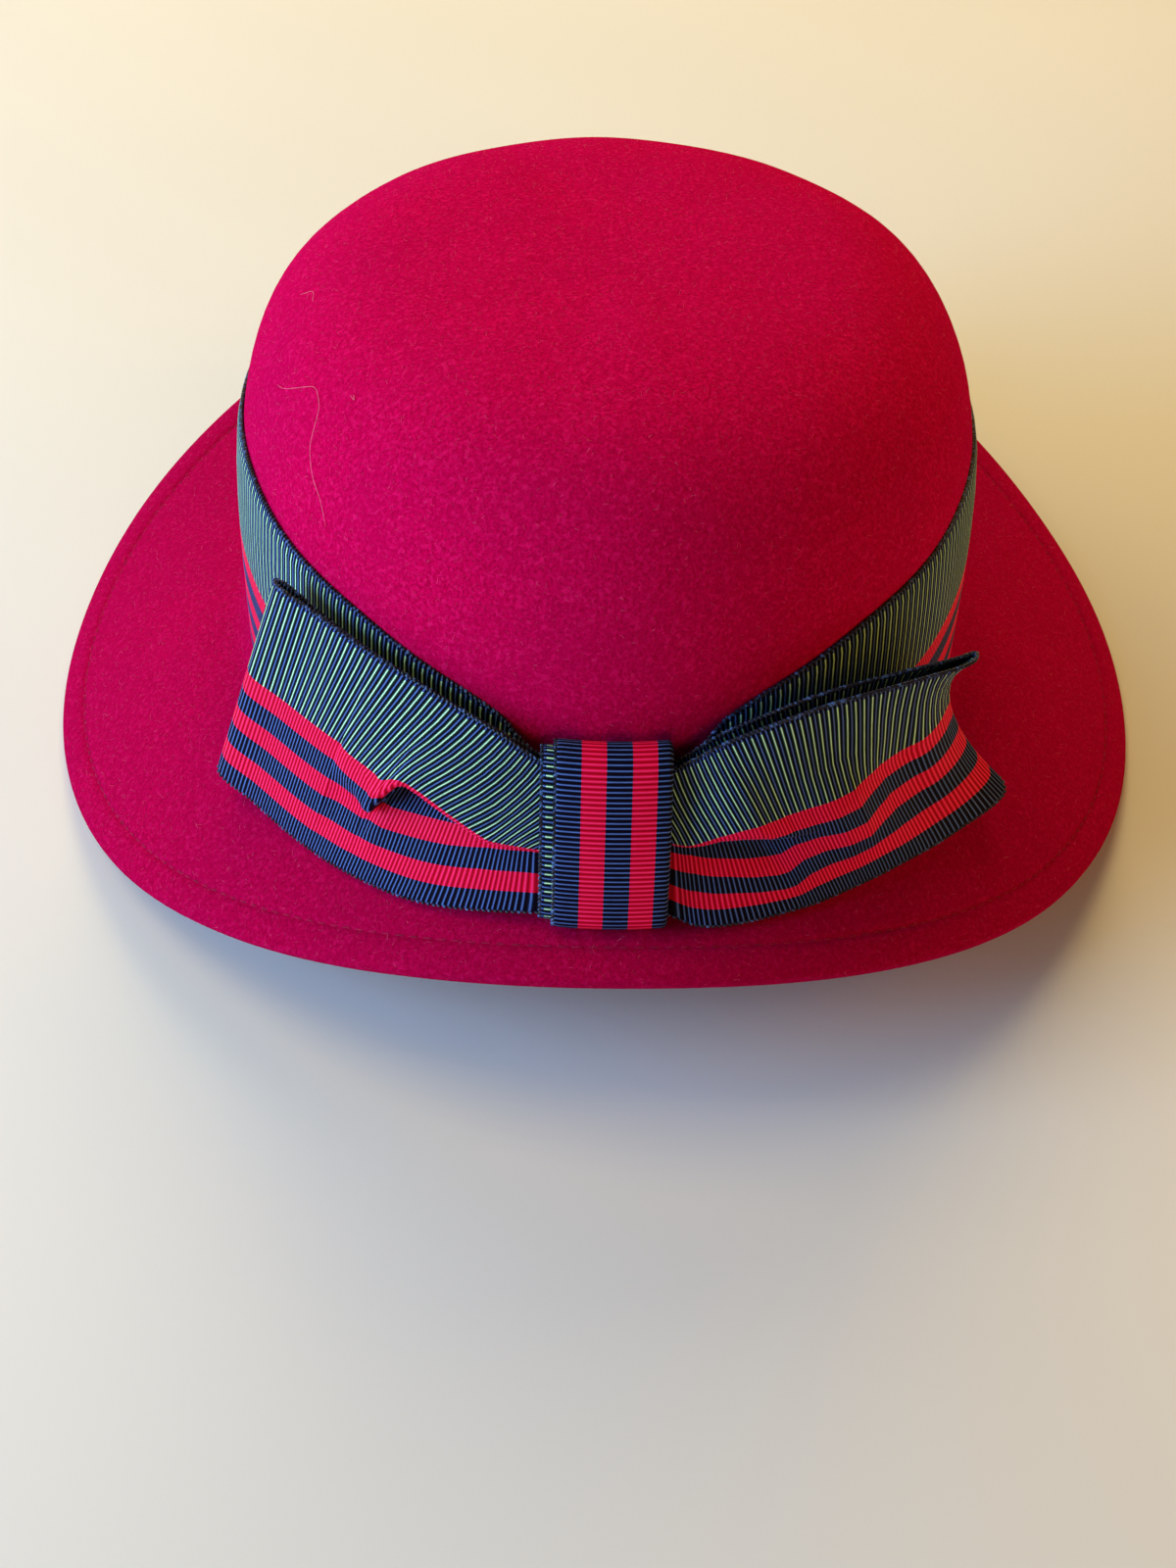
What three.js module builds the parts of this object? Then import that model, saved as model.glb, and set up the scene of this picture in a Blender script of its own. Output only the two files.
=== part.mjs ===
// A felt hat with a turned-up front brim, a ribbed ribbon round the crown and a flat bow at the back.
// Millimetres, +Z up. The wearer's front is +Y and the bow is at -Y. The hat lies as it would by itself
// on a table, a little nose down, on two short stretches of its brim. z = 0 is the table top.
import * as THREE from 'three';
import { mergeVertices } from 'three/addons/utils/BufferGeometryUtils.js';

// ---------------------------------------------------------------- sizes
const headHalfWide = 84;        // outside of the crown at its foot, across
const headHalfLong = 100;       // outside of the crown at its foot, front to back
const eggShape = 0.03;          // how much wider the oval is before the middle than behind it
const crownHigh = 98;           // from the break between crown and brim to the top
const crownSquareness = 4.25;   // 2 is a round dome, more is a flat top on upright sides
const crownSwell = 0.04;        // how much the crown widens towards its top

const brimReach = { front: 54, side: 50, back: 26 };        // level distance from crown to edge
const brimRise = { front: 20.5, side: -32.2, back: -7.4 };  // height of the edge above the break
const brimCurve = 1.48;         // 1 is a straight slope, more bends down towards the edge
const marginWide = 8;           // the edge is folded under and stitched this far in

const feltThick = 2.4;
const marginThick = 4.2;
const edgeRound = 1.4;          // how far the middle of the rounded edge stands out

const restPitch = 6;            // degrees, nose down, at which the hat comes to rest
const feltSquash = 1.2;         // how far its weight flattens the brim where it rests

const ribbonWide = 55;
const ribbonThick = 1;
const skinGap = 0.3;            // between surfaces that touch
const facetRoom = 0.2;          // more room where flat facets cut the corners of a curve

const pleatFrom = 24.5;         // distance from the ribbon's upper edge at which the pleat begins
const pleatTurn = 2.3;          // ribbon used up by each of the pleat's two turns
const pleatRise = 6.5;          // ribbon that runs back up inside the pleat

const knotLeft = 11.3;          // half widths of the folded strip that makes the knot
const knotRight = 11.5;
const knotUnderLeft = 14;       // its under ply shows a little on the left
const plyGap = 1.4;             // between the middles of its two plies

const layersApart = 5.2;        // between the bow's two layers, at their feet
const wallRoom = { knot: 5.2, loop: 3.5 };      // from the crown's wall to the back layer's hollow
const brimRoom = { knot: 4.1, loop: 1.9 };      // from the brim to the back layer's foot
const endFold = { turn: 1.6, footTurn: 1.2, footRise: 1.2 };   // how a loop's end rounds its fold

const columns = { felt: 64, band: 64, bow: 60, knot: 36 };
const crownRows = 14;

// ---------------------------------------------------------------- short tables
// Upper edge of the hat band. turn: degrees round from the centre back. high: above the break.
const bandEdge = [
  { turn: 0, high: 30.5 },
  { turn: 9, high: 31.9 },
  { turn: 14, high: 36.2 },
  { turn: 20, high: 41 },
  { turn: 30, high: 46 },
  { turn: 40, high: 50 },
  { turn: 55, high: 53 },
  { turn: 75, high: 57 },
  { turn: 110, high: 57.5 },
  { turn: 180, high: 57 },
];

// The bow's front layer, in rows from beside the knot to the loop's end. Its upper edge and its foot
// each have a turn (degrees round from the centre back), an out (level distance off the crown's wall)
// and a high (above the break). gap: to the back layer, at the top. curl: how far the strip hollows.
const leftLoop = [
  { turn: 8, out: 7.2, high: 32.6, footTurn: 11, footOut: 14.6, footHigh: 0.6, gap: 2 },
  { turn: 15, out: 6.8, high: 38.5, footTurn: 23, footOut: 16.6, footHigh: -3.4, gap: 2 },
  { turn: 25, out: 6.2, high: 44, footTurn: 33.5, footOut: 16.2, footHigh: -4.6, gap: 2.2 },
  { turn: 34, out: 6.6, high: 47.5, footTurn: 42, footOut: 16, footHigh: -4.8, gap: 2.6 },
  { turn: 43, out: 7.2, high: 49.5, footTurn: 50.5, footOut: 17.3, footHigh: -3.2, gap: 3 },
  { turn: 50, out: 8.6, high: 51.5, footTurn: 56.5, footOut: 20, footHigh: -1, gap: 3 },
];
const rightLoop = [
  { turn: 8, out: 7.4, high: 32.6, footTurn: 11, footOut: 14.8, footHigh: 0.6, gap: 2 },
  { turn: 14, out: 9, high: 38.5, footTurn: 23.5, footOut: 16.5, footHigh: -3.3, curl: 0.1, gap: 3.8 },
  { turn: 20.5, out: 11, high: 42.5, footTurn: 31.5, footOut: 16.8, footHigh: -4.3, curl: 0.2, gap: 4.4 },
  { turn: 27.5, out: 12, high: 43.8, footTurn: 38.5, footOut: 17.2, footHigh: -4.7, curl: 0.36, gap: 4.8 },
  { turn: 38, out: 14.3, high: 42.5, footTurn: 48, footOut: 18.6, footHigh: -4.6, curl: 0.6, gap: 4.6 },
  { turn: 47, out: 18.6, high: 41.5, footTurn: 57, footOut: 22.5, footHigh: -2.6, curl: 0.87, gap: 2.6 },
];
const bowMiddle = { turn: 0, out: 7.2, high: 31, footTurn: 0, footOut: 14.5, footHigh: 1.3, gap: 1.8 };

// The knot's outer ply, seen from the side, clockwise from its upper front corner.
const knotPath = [
  { out: 11.4, high: 31 },
  { out: 14.6, high: 22 },
  { out: 16.9, high: 13 },
  { out: 17.8, high: 5 },
  { out: 18, high: 0.1 },
  { out: 16, high: -1.9 },
  { out: 10, high: -0.4 },
  { out: 4.6, high: 0.8 },
  { out: 1.7, high: 1.8 },
  { out: 1.1, high: 4.5 },
  { out: 1.1, high: 17 },
  { out: 1.1, high: 29.6 },
  { out: 1.5, high: 34.9 },
  { out: 5.2, high: 36.9 },
  { out: 9.3, high: 35.3 },
];

// ---------------------------------------------------------------- small helpers
const radians = THREE.MathUtils.degToRad;
const mix = THREE.MathUtils.lerp;
const smooth = (x, low, high) => THREE.MathUtils.smoothstep(x, low, high);

// Value of a table's column at a place, along a smooth curve through its rows.
function readTable(table, place, value, at) {
  const last = table.length - 1;
  let row = 0;
  while (row < last - 1 && at > table[row + 1][place]) row += 1;
  const slope = (k) => {
    const before = table[Math.max(k - 1, 0)];
    const after = table[Math.min(k + 1, last)];
    return (after[value] - before[value]) / (after[place] - before[place]);
  };
  const span = table[row + 1][place] - table[row][place];
  const t = THREE.MathUtils.clamp((at - table[row][place]) / span, 0, 1);
  const [a, b] = [table[row][value], table[row + 1][value]];
  const [da, db] = [slope(row) * span, slope(row + 1) * span];
  return a + t * (da + t * (3 * (b - a) - 2 * da - db + t * (2 * (a - b) + da + db)));
}

// ---------------------------------------------------------------- the hat's own surfaces
// A point of the head's oval, pushed out square to it. turn is in degrees round from the centre back.
function ovalPoint(turn, shrink = 1, out = 0) {
  const [s, c] = [Math.sin(radians(turn)), -Math.cos(radians(turn))];
  const x = headHalfWide * s * (1 + eggShape * c);
  const y = headHalfLong * c;
  const tangentX = headHalfWide * (-c * (1 + eggShape * c) + eggShape * s * s);
  const tangentY = headHalfLong * s;
  const size = Math.hypot(tangentX, tangentY);
  return [x * shrink + (tangentY / size) * out, y * shrink - (tangentX / size) * out];
}

// The crown's section in polar form: shrink of the oval and height, from foot (0) to top (90 degrees).
function crownSection(angle) {
  const [c, s] = [Math.cos(radians(angle)), Math.sin(radians(angle))];
  const far = (Math.abs(c) ** crownSquareness + Math.abs(s) ** crownSquareness) ** (-1 / crownSquareness);
  const rise = Math.min(far * s, 1);
  return { shrink: Math.max(far * c, 0) * (1 + crownSwell * rise), high: crownHigh * rise };
}

// A point a level distance out from the crown's wall, at a height above the break.
function wallPoint(turn, high, out) {
  const rise = THREE.MathUtils.clamp(high / crownHigh, 0, 0.99);
  const shrink = (1 - rise ** crownSquareness) ** (1 / crownSquareness) * (1 + crownSwell * rise);
  const [x, y] = ovalPoint(turn, shrink, out);
  return new THREE.Vector3(x, y, high);
}

// A size given at the front, the sides and the back, for any turn between them.
function roundTheHead(size, turn) {
  const [c, c2] = [-Math.cos(radians(turn)), Math.cos(2 * radians(turn))];
  const ends = (size.front + size.back) / 2;
  return (ends + size.side) / 2 + ((size.front - size.back) / 2) * c + ((ends - size.side) / 2) * c2;
}

const brimHigh = (turn, part) => roundTheHead(brimRise, turn) * part ** brimCurve;

function brimPoint(turn, part) {
  const [x, y] = ovalPoint(turn, 1, roundTheHead(brimReach, turn) * part);
  return new THREE.Vector3(x, y, brimHigh(turn, part));
}

// ---------------------------------------------------------------- sheets with a thickness
// rows[i][k] is a grid of points: rows run across the sheet, and each row is a closed loop.
function sheetNormals(rows) {
  const count = rows[0].length;
  const normals = rows.map((row, i) => row.map((point, k) => {
    const round = row[(k + 1) % count].clone().sub(row[(k + count - 1) % count]);
    const down = rows[Math.min(i + 1, rows.length - 1)][k].clone().sub(rows[Math.max(i - 1, 0)][k]);
    return down.cross(round).normalize();
  }));
  if (rows[0][0].distanceTo(rows[0][1]) < 1e-6) {
    const mean = normals[1].reduce((sum, n) => sum.add(n), new THREE.Vector3()).normalize();
    normals[0] = normals[0].map(() => mean);
  }
  return normals;
}

function offsetRows(rows, normals, distance) {
  return rows.map((row, i) => row.map((p, k) => p.clone().addScaledVector(normals[i][k], distance(i))));
}

// Closes an outer and an inner grid into one solid. A first row drawn together to a point has no edge.
function closedSolid(outer, inner) {
  const numbers = [];
  const triangle = (a, b, c) => {
    const area = b.clone().sub(a).cross(c.clone().sub(a)).length();
    if (area > 1e-7) numbers.push(...a.toArray(), ...b.toArray(), ...c.toArray());
  };
  const strip = (upper, lower) => {
    upper.forEach((a, k) => {
      const next = (k + 1) % upper.length;
      triangle(a, lower[k], lower[next]);
      triangle(a, lower[next], upper[next]);
    });
  };
  outer.slice(1).forEach((row, i) => strip(outer[i], row));
  inner.slice(1).forEach((row, i) => strip(row, inner[i]));
  strip(outer[outer.length - 1], inner[inner.length - 1]);
  if (outer[0][0].distanceTo(outer[0][1]) > 1e-6) strip(inner[0], outer[0]);

  const loose = new THREE.BufferGeometry();
  loose.setAttribute('position', new THREE.Float32BufferAttribute(numbers, 3));
  const solid = mergeVertices(loose, 1e-4);
  solid.computeVertexNormals();
  return solid;
}

function ribbonSolid(rows) {
  const normals = sheetNormals(rows);
  const half = ribbonThick / 2;
  return closedSolid(offsetRows(rows, normals, () => half), offsetRows(rows, normals, () => -half));
}

// ---------------------------------------------------------------- felt body
function feltRows() {
  const turns = Array.from({ length: columns.felt }, (_, k) => (360 * k) / columns.felt);
  const crown = Array.from({ length: crownRows }, (_, i) => crownSection(90 - (90 * i) / crownRows));
  const rows = crown.map(({ shrink, high }) => turns.map((turn) => {
    const [x, y] = ovalPoint(turn, shrink);
    return new THREE.Vector3(x, y, high);
  }));
  const margin = (turn) => {
    const reach = roundTheHead(brimReach, turn);
    const slope = (roundTheHead(brimRise, turn) * brimCurve) / reach;
    return 1 - marginWide / Math.hypot(1, slope) / reach;
  };
  const parts = [() => 0, (t) => 0.22 * margin(t), (t) => 0.5 * margin(t), (t) => 0.78 * margin(t),
    (t) => margin(t), (t) => mix(margin(t), 1, 0.12), () => 1];
  parts.forEach((part) => rows.push(turns.map((turn) => brimPoint(turn, part(turn)))));
  return rows;
}

function feltSolid() {
  const rows = feltRows();
  const normals = sheetNormals(rows);
  const thick = (i) => (i >= rows.length - 2 ? marginThick : feltThick);
  const inner = offsetRows(rows, normals, (i) => -thick(i));
  const edge = rows[rows.length - 1];
  const under = inner[inner.length - 1];
  const before = rows[rows.length - 2];
  const nose = edge.map((point, k) => {
    const outward = point.clone().sub(before[k]).normalize();
    return point.clone().lerp(under[k], 0.5).addScaledVector(outward, edgeRound);
  });
  return closedSolid([...rows, nose], inner);
}

// ---------------------------------------------------------------- hat band
function bandSolid() {
  const across = [0, 0.25, 0.5, 0.75, 1];
  const turns = Array.from({ length: columns.band }, (_, k) => (360 * k) / columns.band - 180);
  const onWall = skinGap + facetRoom + ribbonThick / 2;
  const overKnot = onWall + plyGap + ribbonThick + skinGap + facetRoom;
  const footOnBrim = 1.6;
  const footOverKnot = 4.2;
  return ribbonSolid(across.map((part) => turns.map((turn) => {
    const side = Math.abs(turn);
    const lift = 1 - smooth(side, 11, 16.5);
    const top = readTable(bandEdge, 'turn', 'high', side);
    const foot = Math.max(top - ribbonWide, mix(footOnBrim, footOverKnot, lift));
    return wallPoint(turn, mix(top, foot, part), mix(onWall, overKnot, lift));
  })));
}

// ---------------------------------------------------------------- bow loops
// Shape of the ribbon's section: how steeply it runs inwards at a distance from its upper edge.
function inwardAngle(across, curl, fold) {
  const firstTurn = THREE.MathUtils.clamp((across - pleatFrom) / pleatTurn, 0, 1);
  const secondTurn = THREE.MathUtils.clamp((across - pleatFrom - pleatTurn - pleatRise) / pleatTurn, 0, 1);
  return curl * (1 - (2 * across) / ribbonWide) + fold * (firstTurn - secondTurn);
}

function sectionTrace(curl, fold, stops) {
  const step = 0.1;
  const trace = [];
  let [down, inward, across] = [0, 0, 0];
  stops.forEach((stop) => {
    while (across < stop - step / 2) {
      const angle = inwardAngle(across + step / 2, curl, fold);
      down += Math.cos(angle) * step;
      inward += Math.sin(angle) * step;
      across += step;
    }
    trace.push([down, inward]);
  });
  return trace;
}

// The fold angle, up to a full half turn, that draws the strip's two edges a given distance together.
function foldForChord(curl, chord) {
  let [low, high] = [0, Math.PI];
  const chordOf = (fold) => Math.hypot(...sectionTrace(curl, fold, [ribbonWide])[0]);
  for (let k = 0; k < 16; k += 1) {
    const middle = (low + high) / 2;
    if (chordOf(middle) > chord) low = middle;
    else high = middle;
  }
  return low;
}

// Points of one section of the ribbon, from its upper edge to its foot.
function ribbonSection(top, foot, outward, curl, pleated, stops) {
  const down = foot.clone().sub(top);
  const chord = down.length();
  down.normalize();
  const inward = outward.clone().addScaledVector(down, -outward.dot(down)).normalize().negate();
  const fold = pleated ? foldForChord(curl, chord) : 0;
  const trace = sectionTrace(curl, fold, stops);
  const [endDown, endInward] = trace[trace.length - 1];
  const scale = chord / Math.hypot(endDown, endInward);
  const lean = Math.atan2(endInward, endDown);
  return trace.map(([d, i]) => {
    const along = (d * Math.cos(lean) + i * Math.sin(lean)) * scale;
    const across = (i * Math.cos(lean) - d * Math.sin(lean)) * scale;
    return top.clone().addScaledVector(down, along).addScaledVector(inward, across);
  });
}

// The curl that hollows a strip until it passes the wall at a distance, from its ends' distances.
function curlToClear(topOut, footOut, clear) {
  const room = (topOut + footOut) / 2 - clear;
  const slope = (footOut - topOut) / 2;
  const hollow = (room + Math.sqrt(Math.max(room ** 2 - slope ** 2, 0))) / 2;
  return (4 * hollow) / ribbonWide;
}

// The ring of ribbon as control sections: the front layer from the left end to the right end, the
// right fold, the back layer the other way, and the left fold.
function bowSections() {
  const signed = (row, side) => ({ curl: 0, ...row, turn: side * row.turn, footTurn: side * row.footTurn });
  const front = [
    ...leftLoop.map((row) => signed(row, -1)).reverse(),
    signed(bowMiddle, 1),
    ...rightLoop.map((row) => signed(row, 1)),
  ];
  const backLayer = front.slice().reverse().map((row) => {
    const offKnot = smooth(Math.abs(row.turn), 10, 20);
    const out = row.out - row.gap;
    const footOut = row.footOut - layersApart;
    const onBrim = brimHigh(row.footTurn, footOut / roundTheHead(brimReach, row.footTurn));
    const footHigh = onBrim + mix(brimRoom.knot, brimRoom.loop, offKnot);
    const hugging = curlToClear(out, footOut, mix(wallRoom.knot, wallRoom.loop, offKnot));
    const curl = mix(hugging, row.curl, smooth(Math.abs(row.turn), 28, 48));
    return { ...row, out, footOut, footHigh, curl, back: true };
  });
  const foldAt = (row, side) => ({
    ...row,
    turn: row.turn + side * endFold.turn,
    footTurn: row.footTurn + side * endFold.footTurn,
    out: row.out - row.gap / 2,
    footOut: row.footOut - layersApart / 2,
    footHigh: row.footHigh + endFold.footRise,
    back: true,
  });
  return [...front, foldAt(front[front.length - 1], 1), ...backLayer, foldAt(front[0], -1)];
}

function bowSolid() {
  const sections = bowSections();
  const stops = [0, 8, 16, 22, pleatFrom, pleatFrom + pleatTurn / 2, pleatFrom + pleatTurn,
    pleatFrom + pleatTurn + pleatRise / 2, pleatFrom + pleatTurn + pleatRise,
    pleatFrom + 1.5 * pleatTurn + pleatRise, pleatFrom + 2 * pleatTurn + pleatRise, 42, 48.5, ribbonWide];
  const tops = sections.map((row) => wallPoint(row.turn, row.high, row.out));
  const feet = sections.map((row) => {
    const [x, y] = ovalPoint(row.footTurn, 1, row.footOut);
    return new THREE.Vector3(x, y, row.footHigh);
  });
  const topCurve = new THREE.CatmullRomCurve3(tops, true, 'centripetal');
  const footCurve = new THREE.CatmullRomCurve3(feet, true, 'centripetal');
  const across = Array.from({ length: columns.bow }, (_, k) => {
    const place = (k / columns.bow) * sections.length;
    const [before, after] = [sections[Math.floor(place)], sections[Math.ceil(place) % sections.length]];
    const share = place - Math.floor(place);
    const turn = mix(before.turn, after.turn, share);
    const [farX, farY] = ovalPoint(turn, 1, 10);
    const [nearX, nearY] = ovalPoint(turn);
    const outward = new THREE.Vector3(farX - nearX, farY - nearY, 0);
    const curl = mix(before.curl, after.curl, share);
    const pleated = !(before.back || after.back);
    const at = k / columns.bow;
    return ribbonSection(topCurve.getPoint(at), footCurve.getPoint(at), outward, curl, pleated, stops);
  });
  return ribbonSolid(stops.map((_, i) => across.map((section) => section[i])));
}

// ---------------------------------------------------------------- knot
// The strip keeps one width, so its turn is worked out for each place's own distance from the wall.
function knotSolid() {
  const path = new THREE.CatmullRomCurve3(
    knotPath.map(({ out, high }) => new THREE.Vector3(out, high, 0)), true, 'centripetal');
  const ring = path.getSpacedPoints(columns.knot).slice(0, columns.knot);
  const inwards = ring.map((_, k) => {
    const [before, after] = [ring[(k + ring.length - 1) % ring.length], ring[(k + 1) % ring.length]];
    return new THREE.Vector3(after.y - before.y, before.x - after.x, 0).normalize();
  });
  const section = [
    { across: -knotLeft, ply: 0 },
    { across: -knotLeft / 3, ply: 0 },
    { across: knotRight / 3, ply: 0 },
    { across: knotRight - 0.7, ply: 0 },
    { across: knotRight - 0.1, ply: 0.2 },
    { across: knotRight, ply: 0.5 },
    { across: knotRight - 0.1, ply: 0.8 },
    { across: knotRight - 0.7, ply: 1 },
    { across: knotRight / 3, ply: 1 },
    { across: -knotLeft / 3, ply: 1 },
    { across: -knotLeft, ply: 1 },
    { across: -knotUnderLeft, ply: 1 },
  ];
  return ribbonSolid(section.map(({ across, ply }) => ring.map((point, k) => {
    const place = point.clone().addScaledVector(inwards[k], plyGap * ply);
    const widthPerRadian = headHalfWide * (1 - eggShape) + (place.x * headHalfLong) / headHalfWide;
    return wallPoint(THREE.MathUtils.radToDeg(across / widthPerRadian), place.y, place.x);
  })));
}

// ---------------------------------------------------------------- the whole hat, laid on the table
const ribbonColour = new THREE.Color(0.08, 0.1, 0.2);
const pieces = [
  { name: 'felt_body', solid: feltSolid(), colour: new THREE.Color(0.62, 0.02, 0.17), roughness: 0.95 },
  { name: 'hat_band', solid: bandSolid(), colour: new THREE.Color(0.22, 0.33, 0.24), roughness: 0.6 },
  { name: 'bow_loops', solid: bowSolid(), colour: ribbonColour, roughness: 0.6 },
  { name: 'bow_knot', solid: knotSolid(), colour: new THREE.Color(0.72, 0.06, 0.1), roughness: 0.6 },
];

// Turns the hat nose down, sets its lowest stretch of brim on the table and flattens the felt there.
function layOnTable() {
  const tilt = new THREE.Matrix4().makeRotationX(-radians(restPitch));
  pieces.forEach(({ solid }) => solid.applyMatrix4(tilt));
  const felt = pieces[0].solid;
  felt.computeBoundingBox();
  const drop = felt.boundingBox.min.z + feltSquash;
  pieces.forEach(({ solid }) => solid.translate(0, 0, -drop));
  const points = felt.getAttribute('position');
  for (let k = 0; k < points.count; k += 1) points.setZ(k, Math.max(points.getZ(k), 0));
}
layOnTable();

const group = new THREE.Group();
pieces.forEach(({ name, solid, colour, roughness }) => {
  const material = new THREE.MeshStandardMaterial({ color: colour, roughness, metalness: 0 });
  const mesh = new THREE.Mesh(solid, material);
  mesh.name = name;
  group.add(mesh);
});
const middle = new THREE.Box3().setFromObject(group).getCenter(new THREE.Vector3());
group.position.set(-middle.x, -middle.y, 0);

export default group;
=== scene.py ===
# %% [markdown]
# # A raspberry felt hat with a striped ribbon bow
# This lesson dresses a hat in Blender. The hat is one piece of pressed wool felt: a rounded crown
# and a brim that slopes down at the back and the sides and turns up in front. A ribbed, striped
# ribbon goes round the crown, and a flat bow of the same ribbon sits at the back, held by a small
# wrapped knot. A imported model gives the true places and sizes, so it is loaded first.

# %% Start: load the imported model
import math
import bpy
import numpy as np
from mathutils import Matrix, Quaternion, Vector


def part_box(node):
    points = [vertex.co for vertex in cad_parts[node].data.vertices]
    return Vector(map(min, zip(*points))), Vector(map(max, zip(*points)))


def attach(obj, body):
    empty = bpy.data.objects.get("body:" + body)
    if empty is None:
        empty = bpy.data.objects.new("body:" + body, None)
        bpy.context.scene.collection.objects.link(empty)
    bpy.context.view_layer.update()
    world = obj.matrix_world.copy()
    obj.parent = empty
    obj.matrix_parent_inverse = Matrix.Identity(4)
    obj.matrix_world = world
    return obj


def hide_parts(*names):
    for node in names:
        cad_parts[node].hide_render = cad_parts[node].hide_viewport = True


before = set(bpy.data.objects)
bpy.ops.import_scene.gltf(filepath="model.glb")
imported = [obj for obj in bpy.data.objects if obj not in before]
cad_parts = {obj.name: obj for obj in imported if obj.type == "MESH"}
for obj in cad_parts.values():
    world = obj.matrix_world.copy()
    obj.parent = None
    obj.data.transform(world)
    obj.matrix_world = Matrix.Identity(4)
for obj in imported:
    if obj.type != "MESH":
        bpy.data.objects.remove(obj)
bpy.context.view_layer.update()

MM = 0.001
felt_low, felt_high = (np.array(corner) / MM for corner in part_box("felt_body"))

# %% [markdown]
# ## Sizes in words
# A maker would measure a hat block, a brim and a ribbon. The same few numbers drive every shape
# below, in millimetres. A place on the hat is told by its turn, in degrees from the centre back, by
# how far out from the crown it lies, and by how high it is above the break where crown and brim
# meet.

# %% Sizes of the felt
HEAD_HALF_WIDE, HEAD_HALF_LONG, EGG_SHAPE = 84, 100, 0.03
CROWN_HIGH, CROWN_SQUARENESS, CROWN_SWELL = 98, 4.25, 0.04
BRIM_REACH = {"front": 54, "side": 50, "back": 26}
BRIM_RISE = {"front": 20.5, "side": -32.2, "back": -7.4}
BRIM_CURVE = 1.48
FELT_THICK, MARGIN_THICK, MARGIN_WIDE, EDGE_ROUND = 2.4, 4.2, 8, 1.4
REST_PITCH = 6
print("head oval, mm:", 2 * HEAD_HALF_WIDE, "x", 2 * HEAD_HALF_LONG)

# %% Sizes of the ribbon
RIBBON_WIDE, RIBBON_CORE = 55, 0.62
RIB_PITCH, RIB_HIGH, RIB_STEPS = 1.1, 0.17, 5
print("ribs in 100 mm of ribbon:", round(100 / RIB_PITCH))

# %% [markdown]
# ## Small tools for shapes
# NumPy works on whole grids of points at once, so a surface is a formula. These helpers give soft
# steps, and short tables with named columns and a smooth reading between their rows.

# %% Soft steps and tables
def mix(a, b, share):
    return a + (b - a) * share


def smooth(x, low, high):
    t = np.clip((np.asarray(x, float) - low) / (high - low), 0, 1)
    return t * t * (3 - 2 * t)


def hump(x, start, top, fall, end):
    """0, softly up to 1 between start and top, and softly down again between fall and end."""
    return smooth(x, start, top) * (1 - smooth(x, fall, end))


def walked_along(steps):
    """The distance walked at the start and after each step."""
    return np.concatenate([[0], np.cumsum(steps)])


def table(names, rows):
    """Columns by name. A row that stops early ends in zeros."""
    names = names.split()
    full = [[*row, *[0] * (len(names) - len(row))] for row in rows]
    return dict(zip(names, np.array(full, float).T))


def read_table(columns, name, at):
    """A column at many turns, along a smooth curve through the table's rows."""
    places, values = columns["turn"], columns[name]
    rows, last = np.arange(len(places)), len(places) - 1
    before, after = np.maximum(rows - 1, 0), np.minimum(rows + 1, last)
    slopes = (values[after] - values[before]) / (places[after] - places[before])
    row = np.clip(np.searchsorted(places, at) - 1, 0, last - 1)
    span = places[row + 1] - places[row]
    t = np.clip((at - places[row]) / span, 0, 1)
    a, b, da, db = values[row], values[row + 1], slopes[row] * span, slopes[row + 1] * span
    return a + t * (da + t * (3 * (b - a) - 2 * da - db + t * (2 * (a - b) + da + db)))


# %% [markdown]
# ## The head's oval
# A hat block is an egg-shaped oval. Its wall rises, swells a little and rounds over at the top like
# a square with very soft corners, which is what a superellipse gives.

# %% Oval, wall and brim
def oval_point(turn, shrink=1.0, out=0.0):
    s, c = np.sin(np.radians(turn)), -np.cos(np.radians(turn))
    x = HEAD_HALF_WIDE * s * (1 + EGG_SHAPE * c)
    y = HEAD_HALF_LONG * c
    tangent_x = HEAD_HALF_WIDE * (-c * (1 + EGG_SHAPE * c) + EGG_SHAPE * s * s)
    tangent_y = HEAD_HALF_LONG * s
    size = np.hypot(tangent_x, tangent_y)
    return np.stack([x * shrink + tangent_y / size * out, y * shrink - tangent_x / size * out], -1)


def with_high(flat, high):
    """Points of a plan, with their heights."""
    return np.concatenate([flat, np.broadcast_to(high, flat.shape[:-1])[..., None]], -1)


def wall_point(turn, high, out):
    rise = np.clip(high / CROWN_HIGH, 0, 0.99)
    shrink = (1 - rise ** CROWN_SQUARENESS) ** (1 / CROWN_SQUARENESS) * (1 + CROWN_SWELL * rise)
    return with_high(oval_point(turn, shrink, out), high)


def round_the_head(size, turn):
    c, c2 = -np.cos(np.radians(turn)), np.cos(2 * np.radians(turn))
    ends, lean = (size["front"] + size["back"]) / 2, (size["front"] - size["back"]) / 2
    return (ends + size["side"]) / 2 + lean * c + (ends - size["side"]) / 2 * c2


def brim_high(turn, part):
    return round_the_head(BRIM_RISE, turn) * part ** BRIM_CURVE


print("back of the oval:", oval_point(np.array([0.0])).round(1).tolist())

# %% [markdown]
# ## From grids to meshes
# A sheet with a thickness is two grids of points, an outer and an inner one, joined along their
# rims. The grids close on themselves sideways: felt, band, bow and knot are all rings.

# %% Mesh helpers
def unit(vectors):
    return vectors / np.maximum(np.linalg.norm(vectors, axis=-1, keepdims=True), 1e-9)


def sheet_normals(rows):
    """Outward directions of a grid whose rows are closed loops."""
    around = np.roll(rows, -1, 1) - np.roll(rows, 1, 1)
    down = np.empty_like(rows)
    down[1:-1] = rows[2:] - rows[:-2]
    down[0], down[-1] = rows[1] - rows[0], rows[-1] - rows[-2]
    return unit(np.cross(down, around))


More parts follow.
